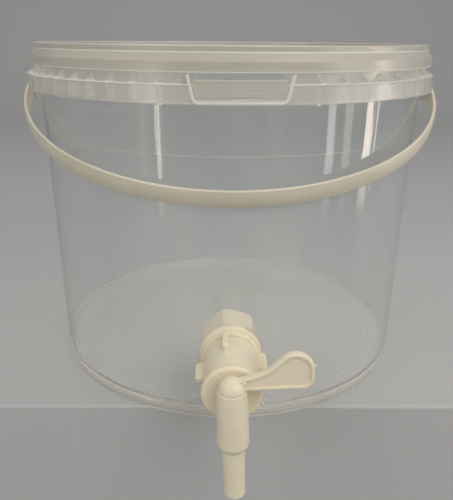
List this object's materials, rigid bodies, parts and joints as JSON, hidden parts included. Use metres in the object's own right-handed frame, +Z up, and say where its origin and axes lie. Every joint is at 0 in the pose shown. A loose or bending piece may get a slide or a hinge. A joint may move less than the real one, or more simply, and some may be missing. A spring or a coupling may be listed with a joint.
{
  "type": "bucket with tap",
  "caption": "Clear round plastic bucket with a snap lid, a tear tab, a strap handle and a quarter-turn lever tap with a hose tail low on its front, for honey, feed or water.",
  "frame": {"origin": "centre of the foot ring, on the shelf or table that the bucket stands on", "axes": "+Z up the bucket's axis; the tap points along -Y; the handle's pivot runs along X"},
  "size_m": [0.2902, 0.3324, 0.2328],
  "materials": {
    "clear_body": "hazy clear natural polypropylene, glossy outside",
    "clear_lid": "hazy clear natural polypropylene, a little milkier than the wall",
    "handle_cream": "cream-white polypropylene, satin",
    "tap_ivory": "ivory polyethylene, waxy satin with fine mould lines",
    "seal_rubber": "soft white silicone rubber, dull"
  },
  "bodies": {
    "bucket": {"bucket_shell": "clear_body", "tap_barrel": "tap_ivory", "tap_head": "tap_ivory", "back_nut": "tap_ivory", "outer_washer": "seal_rubber", "inner_washer": "seal_rubber"},
    "lid": {"lid": "clear_lid"},
    "handle": {"bail_handle": "handle_cream", "handle_arms": "handle_cream"},
    "lever": {"lever_plug": "tap_ivory"},
    "tab": {"tamper_tab": "clear_body"}
  },
  "joints": [
    {"name": "lid_lift", "type": "slide", "parent": "bucket", "child": "lid", "axis": [0, 0, 1], "range_m": [0, 0.25]},
    {"name": "handle_swing", "type": "hinge", "parent": "bucket", "child": "handle", "pos_m": [0, 0, 0.195], "axis": [-1, 0, 0], "range_deg": [0, 220]},
    {"name": "lever_turn", "type": "hinge", "parent": "bucket", "child": "lever", "pos_m": [0, -0.18385, 0.04915], "axis": [-0.0349, 0, 0.9994], "range_deg": [-180, 0]},
    {"name": "tab_fold", "type": "hinge", "parent": "bucket", "child": "tab", "pos_m": [0.0034, -0.13916, 0.19755], "axis": [0.9997, 0.0244, 0], "range_deg": [0, 90]}
  ]
}
